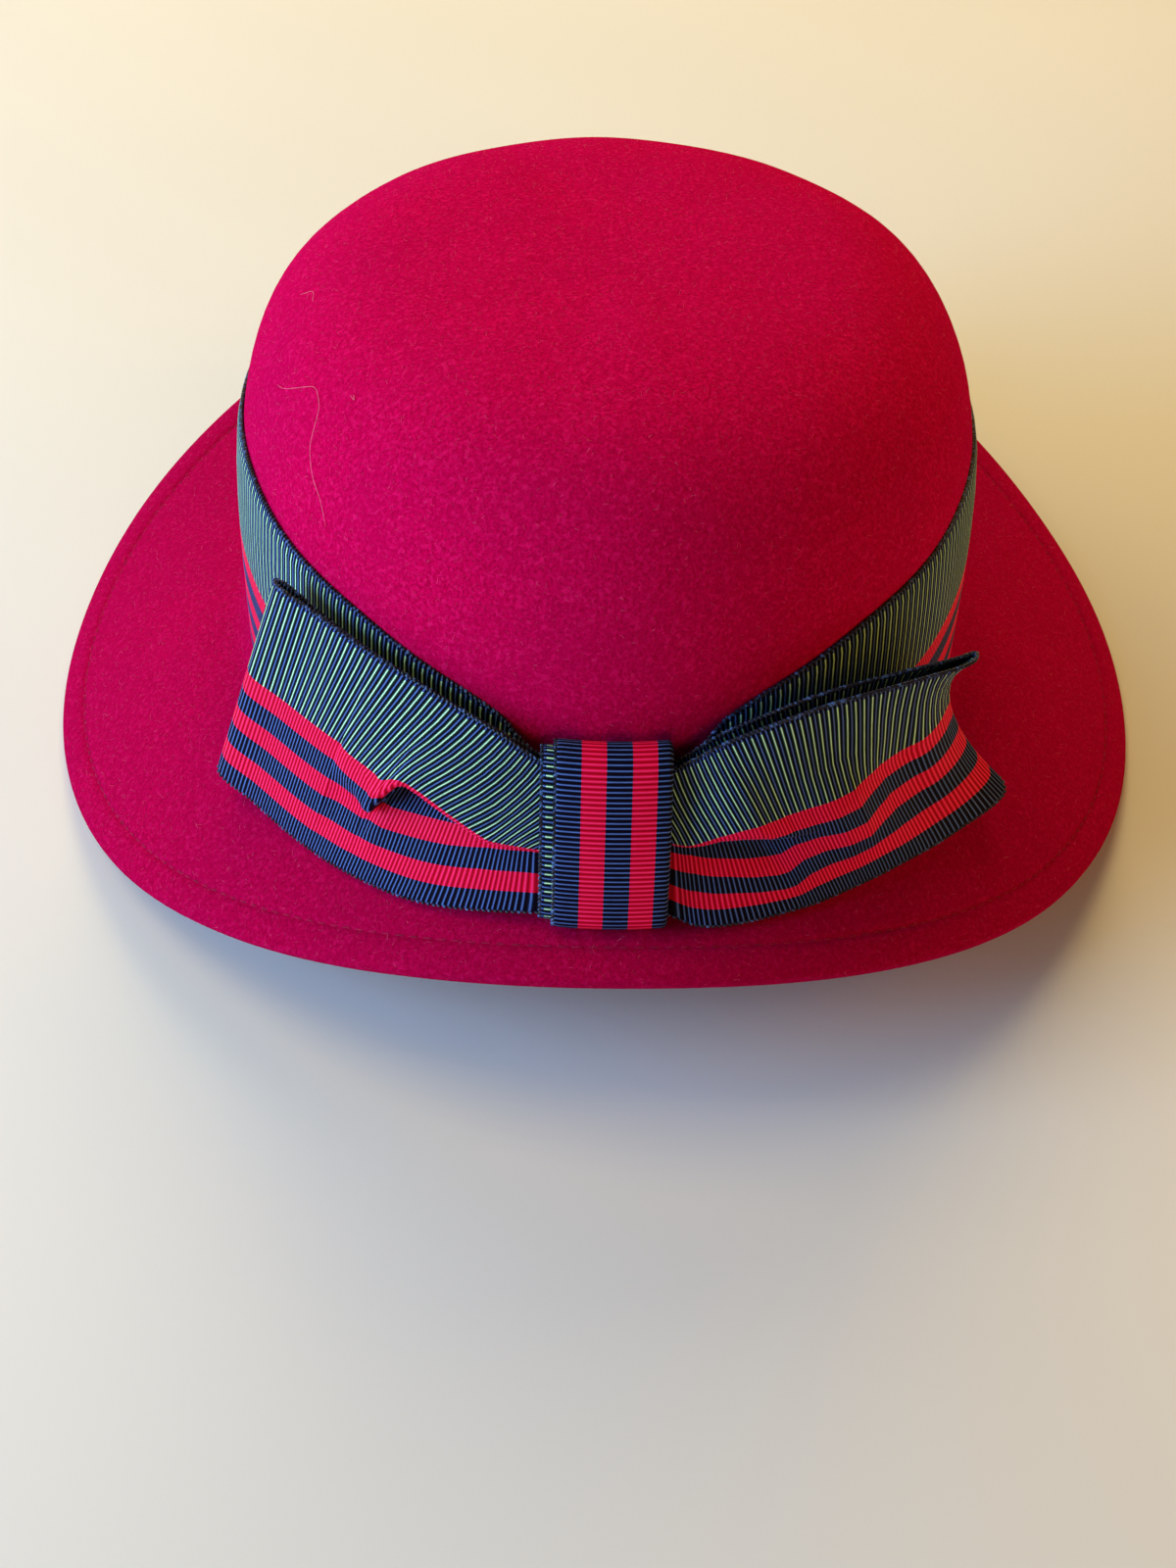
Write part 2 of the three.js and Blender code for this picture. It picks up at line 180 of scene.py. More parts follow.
def grid_faces(rows, columns, first=0, closed=False):
    """Quads between rows. A closed grid joins its last row to its first, too."""
    i, k = np.divmod(np.arange((rows if closed else rows - 1) * columns), columns)
    down, after = (i + 1) % rows, (k + 1) % columns
    quad = [i * columns + k, down * columns + k, down * columns + after, i * columns + after]
    return np.stack(quad, -1) + first


def add_object(name, data):
    """A new object at the origin, unturned and unscaled."""
    made = bpy.data.objects.new(name, data)
    bpy.context.scene.collection.objects.link(made)
    return made


def mesh_piece(name, points, faces, material=None, uv=None, edges=()):
    """A mesh object from points in millimetres, with its place in its mesh."""
    mesh = bpy.data.meshes.new(name)
    faces = faces if isinstance(faces, list) else faces.tolist()
    mesh.from_pydata((points.reshape(-1, 3) * MM).tolist(), edges, faces, shade_flat=False)
    if uv is not None:
        layer = mesh.uv_layers.new(name="ribbon")
        layer.data.foreach_set("uv", uv.reshape(-1).astype(np.float32))
    if material:
        mesh.materials.append(material)
    return add_object(name, mesh)


# %% [markdown]
# ## On the table
# The real hat rests a little nose down, on two short stretches of its brim. Every shape is worked
# out upright, then turned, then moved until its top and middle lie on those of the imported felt.

# %% The crown's top on the table
def crown_section(angle):
    c, s = np.cos(np.radians(angle)), np.sin(np.radians(angle))
    power = CROWN_SQUARENESS
    far = (np.abs(c) ** power + np.abs(s) ** power) ** (-1 / power)
    rise = np.minimum(far * s, 1)
    return np.maximum(far * c, 0) * (1 + CROWN_SWELL * rise), CROWN_HIGH * rise


TILT = np.array(Matrix.Rotation(-math.radians(REST_PITCH), 3, "X")).T
crown_shrink, crown_top = crown_section(np.linspace(60, 90, 91))
crown_line = np.stack([0 * crown_top, -HEAD_HALF_LONG * crown_shrink, crown_top], -1) @ TILT
TABLE_Z = felt_high[2] - crown_line[:, 2].max()
print("break above the table, mm:", round(float(TABLE_Z), 1))

# %% [markdown]
# ## The felt body
# Felt has no threads: wool is pressed and steamed over a block, so crown and brim are one skin. Its
# rows run from the crown's middle to the brim's edge, which is folded under and stitched. That
# makes it thicker and leaves a shallow channel a finger's width in.

# %% Rows of the upper side
FELT_COLUMNS, CROWN_ROWS, BRIM_ROWS = 320, 58, 20
STITCH_IN, MARGIN_FROM = 7.4, 9.4
edge_steps = np.array([
    8.8, 8.5, 8.2, 7.9, 7.6, STITCH_IN, 7.2, 6.9, 6.5, 5.8, 4.8, 3.6, 2.4, 1.4, 0.6, 0])
turns = np.arange(FELT_COLUMNS) * 360 / FELT_COLUMNS

shrink, high = crown_section(90 - 90 * np.arange(CROWN_ROWS) / CROWN_ROWS)
crown_rows = with_high(oval_point(turns[None], shrink[:, None]), high[:, None])

reach = round_the_head(BRIM_REACH, turns)
edge_slope = round_the_head(BRIM_RISE, turns) * BRIM_CURVE / reach
slant = reach * np.hypot(1, edge_slope)
inner_parts = np.linspace(0, 1, BRIM_ROWS)[:, None] * (1 - MARGIN_FROM / slant)
parts = np.concatenate([inner_parts, 1 - edge_steps[:, None] / slant])
brim_rows = with_high(oval_point(turns[None], 1, reach * parts), brim_high(turns[None], parts))
upper = np.concatenate([crown_rows, brim_rows])
from_edge = np.concatenate([np.full(CROWN_ROWS + BRIM_ROWS, 99.0), edge_steps])
print("felt rows:", len(upper))

# %% [markdown]
# The corner between crown and brim is rounded by averaging the rows near it with their neighbours.
# A hand-blocked hat is never quite even, so slow waves and shallow dents then move the skin a
# little.

# %% Round the break and add the hand-made waves
SOFTEN_ROWS, SOFTEN_TIMES, SOFTEN_SHARE = 1.7, 10, 0.8
CHANNEL_DEEP, CHANNEL_HALF, ROLL_HIGH = 0.5, 0.75, 0.35
WAVE_HIGH, DENT_DEEP, DENT_LOW, DENT_HIGH = 0.3, 0.25, 60, 74
row_number = np.arange(len(upper))
near_break = np.exp(-((row_number - CROWN_ROWS) / SOFTEN_ROWS) ** 2)[:, None, None]
for _ in range(SOFTEN_TIMES):
    averaged = upper.copy()
    averaged[1:-1] = (upper[:-2] + upper[2:]) / 2
    upper = mix(upper, averaged, SOFTEN_SHARE * near_break)


def wave(lobes, climb, start):
    """So many lobes round the hat, shifted by climb from the first row to the last."""
    share = np.linspace(0, 1, len(upper))[:, None]
    return np.sin(lobes * np.radians(turns)[None] + climb * share + start)


crown_waves = wave(3, 7, 0.6) + 0.7 * wave(5, -13, 2.1) + 0.6 * wave(2, 21, 4)
crown_only = hump(row_number, 4, 16, 30, CROWN_ROWS)[:, None]
brim_waves = wave(4, 0, 0.9) + 0.7 * wave(7, 0, 2.5) + 0.4 * wave(11, 0, 0)
brim_only = smooth(row_number, CROWN_ROWS + 4, len(upper))[:, None]
waves = WAVE_HIGH * (crown_waves * crown_only + brim_waves * brim_only)
channel = -CHANNEL_DEEP * np.exp(-((from_edge - STITCH_IN) / CHANNEL_HALF) ** 2)
roll = ROLL_HIGH * np.sin(np.pi * np.clip(from_edge, 0, STITCH_IN) / STITCH_IN)
normals = sheet_normals(upper)
upper = upper + normals * (waves + (channel + roll)[:, None])[..., None]
upper[0] = upper[0].mean(0)
dents = DENT_DEEP * wave(6, -19, 1) * wave(4, 23, 0.4) * crown_only
upper = upper + normals * (dents * smooth(upper[..., 2], DENT_LOW, DENT_HIGH))[..., None]
print("highest wave, mm:", round(float(np.abs(waves).max()), 2))

# %% Under side, edge and the whole felt skin
normals = sheet_normals(upper)
normals[0] = unit(normals[1].mean(0))
in_margin = 1 - smooth(from_edge, MARGIN_WIDE - 0.3, MARGIN_WIDE + 0.4)
under = upper - normals * mix(FELT_THICK, MARGIN_THICK, in_margin)[:, None, None]
middle, half = (upper[-1] + under[-1]) / 2, (upper[-1] - under[-1]) / 2
outward = unit(upper[-1] - upper[-3])
swing = np.radians([30, 60, 90, 120, 150])[:, None, None]
nose = middle + half * np.cos(swing) + outward * EDGE_ROUND * np.sin(swing)
all_felt = np.concatenate([upper, nose, under[::-1]])
upright_y = (all_felt @ TILT)[..., 1]
TABLE_Y = (felt_low[1] + felt_high[1] - upright_y.min() - upright_y.max()) / 2


def on_table(points):
    """From the upright hat to its place on the table, in millimetres."""
    return points @ TILT + np.array([0, TABLE_Y, TABLE_Z])


laid_felt = on_table(all_felt)
laid_felt[..., 2] = np.maximum(laid_felt[..., 2], felt_low[2])
felt = mesh_piece("felt_skin", laid_felt, grid_faces(len(all_felt), FELT_COLUMNS))
print("felt skin faces:", len(felt.data.polygons))

# %% [markdown]
# ## Materials as sums
# Node trees read best as sums. A `Value` wraps one output of a node, so that adding or multiplying
# values adds Math nodes. A `Finish` holds one material and adds any other node.

# %% Values and finishes
def new_node(tree, kind, settings, inputs):
    """Adds a node, sets it up, and fills its sockets with links or values."""
    new = tree.nodes.new(kind)
    for key, setting in (settings or {}).items():
        if key == "stops":
            for place, colour in setting[1:]:
                new.color_ramp.elements.new(place).color = (*colour, 1)
            new.color_ramp.elements[0].color = (*setting[0][1], 1)
            new.color_ramp.elements.remove(new.color_ramp.elements[-1])
        elif key == "ramp":
            new.color_ramp.interpolation = setting
        else:
            setattr(new, key, setting)
    for key, value in (inputs or {}).items():
        if isinstance(value, bpy.types.NodeSocket):
            tree.links.new(value, new.inputs[key])
        else:
            new.inputs[key].default_value = value
    return new


class Value:
    def __init__(self, finish, socket):
        self.finish, self.socket = finish, socket

    def math(self, operation, *others):
        inputs = dict(enumerate([self, *others]))
        return self.finish.node("ShaderNodeMath", {"operation": operation}, inputs)

    def __add__(self, other):
        return self.math("ADD", other)

    def __mul__(self, other):
        return self.math("MULTIPLY", other)

    def __sub__(self, other):
        return self.math("SUBTRACT", other)

    def __rsub__(self, other):
        return self.finish.node("ShaderNodeMath", {"operation": "SUBTRACT"}, {0: other, 1: self})

    __radd__, __rmul__ = __add__, __mul__

    def step(self, low, high):
        """0 below low, 1 above high, and soft between them. High may be the lower one."""
        if high < low:
            return 1 - self.step(high, low)
        inputs = {"Value": self, "From Min": low, "From Max": high}
        soft = {"interpolation_type": "SMOOTHSTEP"}
        return self.finish.node("ShaderNodeMapRange", soft, inputs)


class Finish:
    def __init__(self, name):
        self.material = bpy.data.materials.new(name)
        self.material.use_nodes = True
        self.tree = self.material.node_tree
        self.tree.nodes.clear()

    def node(self, kind, settings=None, inputs=None, output=0):
        """Adds a node, whose inputs may be Values, and gives an output as a Value."""
        inputs = {key: value.socket if isinstance(value, Value) else value
                  for key, value in (inputs or {}).items()}
        new = new_node(self.tree, kind, settings, inputs)
        return Value(self, new.outputs[output]) if new.outputs else None

    def place(self):
        return self.node("ShaderNodeTexCoord", None, None, "Object")

    def noise(self, place, scale, detail, **more):
        inputs = {"Vector": place, "Scale": scale, "Detail": detail, **more}
        return self.node("ShaderNodeTexNoise", None, inputs)

    def blend(self, factor, first, second):
        """Mixes two colours. Each is a Value or three numbers."""
        first, second = (c if isinstance(c, Value) else (*c, 1) for c in (first, second))
        inputs = {0: factor, 6: first, 7: second}
        return self.node("ShaderNodeMix", {"data_type": "RGBA"}, inputs, 2)

    def surface(self, sockets):
        """The Principled surface that ends the tree."""
        shader = self.node("ShaderNodeBsdfPrincipled", None, sockets)
        self.node("ShaderNodeOutputMaterial", None, {"Surface": shader})
        return self.material


# %% [markdown]
# ## Wool felt
# Felt's colour is never flat: there are darker pores, paler tips and slow patches where the nap
# lies another way. Four noises do that, and a fine bump makes the pile. Low on the hat the colour
# is darkened a shade: painted shade for the brim.

# %% Felt finish
PORE, FACE, PATCH = (0.33, 0.0003, 0.034), (0.60, 0.0008, 0.08), (0.40, 0.0004, 0.058)
# Painted shade: the second colour below and the three numbers after it darken the felt low on the
# hat, below a height of 40 mm and fading out by 62 mm.
TIP, PAINTED_SHADE_LOW = (0.86, 0.012, 0.18), (0.10, 0.0003, 0.012)
PAINTED_SHADE_FROM, PAINTED_SHADE_TO, PAINTED_SHADE_SHARE = 0.062, 0.04, 0.3
f = Finish("raspberry_felt")
place = f.place()
grain = f.noise(place, 1500, 3, Roughness=0.65)
tips = f.noise(place, 950, 2, Distortion=0.6)
patches, clouds = f.noise(place, 38, 3), f.noise(place, 11, 2)
pores = f.blend(grain.step(0.3, 0.7), PORE, FACE)
mottled = f.blend(patches.step(0.3, 0.75) * 0.4 + clouds.step(0.3, 0.7) * 0.35, pores, PATCH)
brushed = f.blend(tips.step(0.46, 0.74) * 0.34, mottled, TIP)
high = f.node("ShaderNodeSeparateXYZ", None, {"Vector": place}, 2)
lumps = grain * 0.5 + tips * 0.5 + patches * 0.8
pile = f.node("ShaderNodeBump", None, {"Strength": 0.5, "Distance": 0.0005, "Height": lumps})
# Painted shade: below about 40 mm, fading out by 62 mm, the felt colour goes three tenths of the
# way to a dark red.
felt.data.materials.append(f.surface({
    "Base Color": f.blend(high.step(PAINTED_SHADE_FROM, PAINTED_SHADE_TO) * PAINTED_SHADE_SHARE, brushed, PAINTED_SHADE_LOW),
    "Roughness": 1.0, "Normal": pile, "Specular IOR Level": 0.0,
    "Sheen Weight": 0.12, "Sheen Roughness": 0.6, "Sheen Tint": (1.0, 0.02, 0.25, 1),
}))
print("finish:", felt.data.materials[0].name)


# %% Finish for threads and fibres
def thread_finish(name, light, roughness, sheen=0.0, dark=None, scale=700, change=(0.3, 0.7)):
    """A thread or a fibre, with a little change of colour from place to place."""
    f = Finish(name)
    dark = dark or tuple(0.55 * part for part in light)
    colour = f.blend(f.noise(f.place(), scale, 1).step(*change), dark, light)
    return f.surface({
        "Base Color": colour, "Roughness": roughness, "Sheen Weight": sheen,
        "Specular IOR Level": 0.3,
    })


# %% [markdown]
# ## What repeats: Geometry Nodes
# Stitches, the ribbon's looped edge and the nap are small shapes repeated hundreds of times. The
# helper builds a tree with named inputs, runs a recipe that adds nodes, and bakes the result.

# %% Bake a Geometry Nodes recipe
def grow(name, base, recipe, material, inputs):
    """Runs recipe(add, inputs by name) on base and gives the result as a new mesh object."""
    tree = bpy.data.node_groups.new(name, "GeometryNodeTree")
    for way in ("INPUT", "OUTPUT"):
        tree.interface.new_socket("Geometry", in_out=way, socket_type="NodeSocketGeometry")
    for label, number in inputs.items():
        kind = "NodeSocketInt" if isinstance(number, int) else "NodeSocketFloat"
        tree.interface.new_socket(label, in_out="INPUT", socket_type=kind)
    start, end = tree.nodes.new("NodeGroupInput"), tree.nodes.new("NodeGroupOutput")

    def add(kind, settings=None, links=None, output=0):
        return new_node(tree, kind, settings, links).outputs[output]

    realized = add("GeometryNodeRealizeInstances", None, {0: recipe(add, start.outputs)})
    painted = add("GeometryNodeSetMaterial", None, {"Geometry": realized, "Material": material})
    tree.links.new(painted, end.inputs[0])
    modifier = base.modifiers.new(name, "NODES")
    modifier.node_group = tree
    for item in tree.interface.items_tree:
        if item.in_out == "INPUT" and item.name in inputs:
            modifier[item.identifier] = inputs[item.name]
    depsgraph = bpy.context.evaluated_depsgraph_get()
    mesh = bpy.data.meshes.new_from_object(base.evaluated_get(depsgraph), depsgraph=depsgraph)
    base.modifiers.remove(modifier)
    print(name, "faces:", len(mesh.polygons))
    return add_object(name, mesh)


def turned_by(add, rotation, axis, angle):
    """A rotation followed by a turn about one of the shape's own axes."""
    turn = add("FunctionNodeAxisAngleToRotation", None, {"Axis": axis, "Angle": angle})
    links = {"Rotation": rotation, "Rotate By": turn}
    return add("FunctionNodeRotateRotation", {"rotation_space": "LOCAL"}, links)


# %% [markdown]
# ## The margin's stitching
# The folded edge is held by a running stitch that sinks into the felt. Each stitch is a plump bead
# of thread. Curve to Points gives even places along the channel and the line's own direction there.

# %% Stitches
STITCH_PITCH, STITCH_LONG, STITCH_HALF = 3.2, 2.1, 0.2
STITCH_RED = (0.42, 0.0006, 0.062)


def beads_along(add, given):
    """Beads along a line: a squashed ball on each of Count places, turned with the line."""
    curve = add("GeometryNodeMeshToCurve", None, {"Mesh": given["Geometry"]})
    links = {"Curve": curve, "Count": given["Count"]}
    points = add("GeometryNodeCurveToPoints", None, links)
    links = {"Segments": 6, "Rings": 4, "Radius": given["Half thickness"]}
    ball = add("GeometryNodeMeshUVSphere", None, links)
    links = {"X": 1.0, "Y": 1.0, "Z": given["Length by thickness"]}
    size = add("ShaderNodeCombineXYZ", None, links)
    bead = add("GeometryNodeTransform", None, {"Geometry": ball, "Scale": size})
    turned = turned_by(add, points.node.outputs["Rotation"], (0.0, 1.0, 0.0), given["Lean"])
    links = {"Points": points, "Instance": bead, "Rotation": turned}
    return add("GeometryNodeInstanceOnPoints", None, links)


def bead_line(name, points, material, count, half, long, lean=0.0):
    """Beads along a closed line of points in millimetres, each so many thicknesses long."""
    after = np.roll(np.arange(len(points)), -1).tolist()
    line = mesh_piece("line", points, [], edges=list(enumerate(after)))
    beads = grow(name, line, beads_along, material, {
        "Count": count, "Half thickness": half * MM, "Length by thickness": long, "Lean": lean})
    bpy.data.objects.remove(line)
    return beads


stitch_row = CROWN_ROWS + BRIM_ROWS + int(np.argmin(np.abs(edge_steps - STITCH_IN)))
stitch_line = laid_felt[stitch_row] + 0.05 * unit(normals[stitch_row] @ TILT)
stitch_round = float(np.linalg.norm(np.roll(stitch_line, -1, 0) - stitch_line, axis=1).sum())
stitch_thread = thread_finish("stitch_thread", STITCH_RED, 0.9)
stitches = bead_line("margin_stitches", stitch_line, stitch_thread,
                     round(stitch_round / STITCH_PITCH), STITCH_HALF, STITCH_LONG / 2 / STITCH_HALF)

# %% [markdown]
# ## The nap
# Close to, felt is hairy: short fibres lie on the skin and catch the light, most of them red and a
# few pale. A thin bent blade is scattered over the upper side with a fixed seed. The pale ones
# stand up more. A blade that would poke into the table is pressed flat.

# %% Fibres on the felt
# Each nap: its blade's length, half width and lift, its colour, and the recipe's inputs.
NAPS = {
    "nap_red": ((0.95, 0.022, 0.22), (0.62, 0.008, 0.11), {
        "To a sq m": 190000.0, "Seed": 11, "Least size": 0.5, "Most size": 1.2}),
    "nap_pale": ((1.2, 0.02, 0.75), (0.9, 0.14, 0.3), {
        "To a sq m": 90000.0, "Seed": 29, "Least size": 0.3, "Most size": 1.0}),
}


def fibres_over(add, given):
    """Blades over a surface, nearly flat on it, spun and sized at random."""
    links = {"Object": fibre_blade}
    blade = add("GeometryNodeObjectInfo", {"transform_space": "ORIGINAL"}, links, "Geometry")
    links = {"Mesh": given["Geometry"], "Seed": given["Seed"], "Density": given["To a sq m"]}
    points = add("GeometryNodeDistributePointsOnFaces", None, links)
    links = {2: 0.0, 3: 6.283, "Seed": given["Seed"]}
    spin = add("FunctionNodeRandomValue", {"data_type": "FLOAT"}, links, 1)
    turned = turned_by(add, points.node.outputs["Rotation"], (0.0, 0.0, 1.0), spin)
    links = {2: given["Least size"], 3: given["Most size"], "Seed": 5}
    size = add("FunctionNodeRandomValue", {"data_type": "FLOAT"}, links, 1)
    links = {"Points": points, "Instance": blade, "Rotation": turned, "Scale": size}
    return add("GeometryNodeInstanceOnPoints", None, links)


def bent_blade(long, half_wide, lift):
    """A flat blade of three stretches that starts in the felt and lifts towards its tip."""
    places = np.array([0, 0.35, 0.7, 1.0])
    heights = lift * places ** 1.6 - 0.02
    middle = np.stack([places * long, 0.12 * long * np.sin(2.6 * places), heights], -1)
    across = np.array([0, half_wide, 0]) * np.array([1, 1, 0.8, 0.25])[:, None]
    faces = np.array([[k, k + 1, k + 5, k + 4] for k in range(3)])
    return mesh_piece("fibre_blade", np.concatenate([middle - across, middle + across]), faces)


skin_rows = len(upper) + len(nose)
skin = mesh_piece("skin", laid_felt[:skin_rows], grid_faces(skin_rows, FELT_COLUMNS))
naps = []
for name, (blade_sizes, colour, inputs) in NAPS.items():
    fibre_blade = bent_blade(*blade_sizes)
    fibre = thread_finish(name.replace("nap", "fibre"), colour, 0.8, 0.3)
    nap = grow(name, skin, fibres_over, fibre, inputs)
    bpy.data.objects.remove(fibre_blade)
    spots = np.empty(3 * len(nap.data.vertices), np.float32)
    nap.data.vertices.foreach_get("co", spots)
    spots[2::3] = np.maximum(spots[2::3], 0)
    nap.data.vertices.foreach_set("co", spots)
    naps.append(nap)
bpy.data.objects.remove(skin)

# %% [markdown]
# A few pale hairs have settled on the crown. Each is a thin three-sided tube along a short line of
# places, given as turn and height, just off the felt.

# %% Stray hairs
HAIR_HALF, HAIR_OFF, HAIR_COLOUR = 0.045, 0.4, (0.92, 0.3, 0.42)
HAIRS = [
    [(-69.7, 77.7), (-67.3, 78.4), (-63.3, 81.4), (-59.9, 83.8), (-56.5, 82.1), (-55.5, 79.6),
     (-54.7, 75.2), (-51.9, 70.5), (-49.2, 68), (-47, 63.4)],
    [(-84, 87.4), (-82.1, 89.7), (-78.5, 89.2)],
    [(-51.3, 86.6), (-50.3, 86), (-51.9, 86.2)],
]


def hair_tube(places):
    """Rings of three points along a smooth line through the places."""
    fine = np.linspace(0, len(places) - 1, 6 * len(places))
    turn, high = (np.interp(fine, np.arange(len(places)), v) for v in np.array(places, float).T)
    turn, high = (np.convolve(np.pad(v, 2, "edge"), np.ones(5) / 5, "valid") for v in (turn, high))
    middle = wall_point(turn, high, HAIR_OFF)
    along = unit(np.gradient(middle, axis=0))
    side = unit(np.cross(along, [0, 0, 1]))
    over = np.cross(side, along)
    thin = HAIR_HALF * np.sin(np.pi * np.linspace(0.02, 0.98, len(fine))) ** 0.3
    swing = np.radians([0, 120, 240])[:, None]
    around = side[:, None] * np.cos(swing) + over[:, None] * np.sin(swing)
    return middle[:, None] + thin[:, None, None] * around


hair_points, hair_faces, start = [], [], 0
for places_on_crown in HAIRS:
    rings = hair_tube(places_on_crown)
    end = start + 3 * len(rings)
    hair_faces += grid_faces(len(rings), 3, start)[:, [0, 3, 2, 0, 2, 1]].reshape(-1, 3).tolist()
    hair_faces += [[start + 2, start + 1, start], [end - 3, end - 2, end - 1]]
    hair_points.append(rings.reshape(-1, 3))
    start = end
hairs = mesh_piece("stray_hairs", on_table(np.concatenate(hair_points)), hair_faces,
                   thread_finish("pale_hair", HAIR_COLOUR, 0.6, 0.2))
print("stray hairs:", len(HAIRS))

# %% [markdown]
# ## Ribbed ribbon
# Grosgrain has thick threads across it, so it is a row of small round ribs, and the sheet's two
# faces swell and sink with each. The helper takes the middle surface of a ribbon and gives the
# closed ribbed mesh, with a UV map that counts ribs one way and the share of the width the other.

# %% Build a ribbed ribbon from its middle surface
SELVEDGE_THIN = 0.45


def rib_columns(line, fine):
    """A closed line's length, and even places along it for its ribs, an even number of them."""
    walked = walked_along(np.linalg.norm(np.diff(line, axis=0), axis=1))
    count = 2 * round(walked[-1] / RIB_PITCH / 2) * RIB_STEPS
    return walked[-1], np.interp(np.arange(count) / count * walked[-1], walked, fine)


def rib_swell(places):
    """How far a rib stands out at a place counted in ribs: 0 in the groove and 1 on the crest."""
    return np.sqrt(np.clip(1 - (2 * (places % 1) - 1) ** 2, 0, 1))


def ribbon_piece(name, rows, across):
    """rows is a grid of middle points, and across is how far each is from the upper selvedge."""
    ribs = np.arange(rows.shape[1]) / RIB_STEPS
    swell = RIB_HIGH * (rib_swell(ribs) - 0.5)
    edge_thin = smooth(np.minimum(across, RIBBON_WIDE - across), -0.2, 0.8)[..., None]
    half = (RIBBON_CORE / 2 + swell)[:, None] * mix(SELVEDGE_THIN, 1, edge_thin)
    out = half * sheet_normals(rows)
    layers = on_table(np.concatenate([rows + out, (rows - out)[::-1]]))
    faces = grid_faces(len(layers), len(ribs), closed=True)
    u = ribs[faces[:, :1] % len(ribs)] + np.array([0, 0, 1, 1]) / RIB_STEPS
    v = np.concatenate([across, across[::-1]]).reshape(-1)[faces] / RIBBON_WIDE
    print(name, "ribs:", len(ribs) // RIB_STEPS, "faces:", len(faces))
    return mesh_piece(name, layers, faces, ribbon_material, np.stack([u, v], -1))


# %% [markdown]
# ## Ribbon colours
# Seen across, the ribbon is a green field and then six equal stripes, red and navy in turn. In the
# field every second rib is navy. A bright painted highlight runs along the crest of each rib, and
# painted shade makes the groove almost black, or a deep red between red ribs.

# %% Ribbon finish
GREEN_SHARE, SELVEDGE_SHARE = 0.45, 0.012
STRIPE_SHARE = (1 - GREEN_SHARE) / 6
SIDES = {"green": (0.008, 0.07, 0.055), "red": (0.78, 0.0015, 0.04), "navy": (0.001, 0.006, 0.03)}
# Painted highlight: these crest colours are bright lines for the light each rib catches.
CREST_PAINTED_HIGHLIGHTS = {"green": (0.60, 0.98, 0.70), "red": (1.0, 0.03, 0.2), "navy": (0.08, 0.16, 0.50)}
# Painted shade: these groove colours darken the hollow between ribs, to a deep red between red
# ribs.
GROOVE_PAINTED_SHADES = {"green": (0.003, 0.0, 0.003), "red": (0.34, 0.0, 0.012), "navy": (0.003, 0.0, 0.003)}
GROOVE_SHADE = 0.95
f = Finish("striped_ribbon")


def across_ramp(colours, field):
    """The colour across the ribbon: a dark selvedge, the field and the six stripes."""
    stops = [(0.0, colours["navy"]), (SELVEDGE_SHARE, colours[field])]
    for stripe in range(6):
        stops.append((GREEN_SHARE + stripe * STRIPE_SHARE, colours[("red", "navy")[stripe % 2]]))
    settings = {"ramp": "CONSTANT", "stops": stops}
    return f.node("ShaderNodeValToRGB", settings, {"Fac": share})


along = f.node("ShaderNodeSeparateXYZ", None, {
    "Vector": f.node("ShaderNodeUVMap", {"uv_map": "ribbon"})})
share = Value(f, along.socket.node.outputs["Y"])
crest = 1 - (along.math("FRACT") * 2 - 1).math("ABSOLUTE")
odd = (along * 0.5).math("FRACT").step(0.4999, 0.5001)
sides, highlight_paint, groove_shade_paint = (
    f.blend(odd, across_ramp(colours, "green"), across_ramp(colours, "navy"))
    for colours in (SIDES, CREST_PAINTED_HIGHLIGHTS, GROOVE_PAINTED_SHADES))
wander = f.noise(f.place(), 420, 2)
# Painted shade: the groove between the ribs takes the dark groove colours.
body = f.blend(crest.step(0.6, 0.1) * GROOVE_SHADE, sides, groove_shade_paint)
# Painted highlight: a bright line along each rib's crest, its strength varied by a noise.
line = crest.step(0.6, 0.9) * (wander * 0.7 + 0.65)
fuzz = f.node("ShaderNodeBump", None, {"Strength": 0.15, "Distance": 0.0001, "Height": wander})
ribbon_material = f.surface({
    "Base Color": f.blend(line, body, highlight_paint), "Roughness": 0.38 + crest.step(1.0, 0.0) * 0.35,
    "Normal": fuzz, "Specular IOR Level": 0.05, "Sheen Weight": 0.02,
    "Sheen Roughness": 0.25, "Sheen Tint": (0.75, 0.85, 1.0, 1),
})
print("stripe width, mm:", round(STRIPE_SHARE * RIBBON_WIDE, 1))

# %% [markdown]
# ## The looped edge
# Each rib's thread turns back at the ribbon's side and leaves a tiny loop, so the edge is scalloped
# like a twisted cord. The beads recipe makes them almost black, with painted blue highlights.

# %% Loops along both selvedges
LOOP_HALF, LOOP_LONG, LOOP_LEAN, LOOP_OUT = 0.42, 1.55, 0.65, 0.2
# Painted highlight: the lighter blue, scattered by a noise, stands for light on the loops.
navy_thread = thread_finish("navy_thread", (0.05, 0.12, 0.34), 0.45, dark=(0.003, 0.006, 0.02),
                            scale=900, change=(0.5, 0.68))


def selvedge_loops(name, rows):
    made = []
    for side, edge, inner in (("upper", 0, 1), ("lower", -1, -2)):
        line = on_table(rows[edge] + LOOP_OUT * unit(rows[edge] - rows[inner]))
        made.append(bead_line(f"{name}_{side}", line, navy_thread, rows.shape[1] // RIB_STEPS,
                              LOOP_HALF, LOOP_LONG, LOOP_LEAN))
    return made


# %% [markdown]
# ## The hat band
# The band is a plain ring of ribbon on the crown's wall. Its upper edge dips at the back, where the
# bow covers it. Its foot is gathered where it would meet the brim, and it passes over the knot's
# inner ply.

# %% Band
BAND_EDGE = table("turn high", [
    (0, 30.5), (9, 31.9), (14, 36.2), (20, 41), (30, 46), (40, 50), (55, 53), (75, 57),
    (110, 57.5), (180, 57)])
ON_WALL, OVER_KNOT, KNOT_ENDS = 0.85, 3.9, (11, 16.5)
FOOT_ON_BRIM, FOOT_OVER_KNOT = 1.6, 4.2
EDGE_SNUG = 0.35

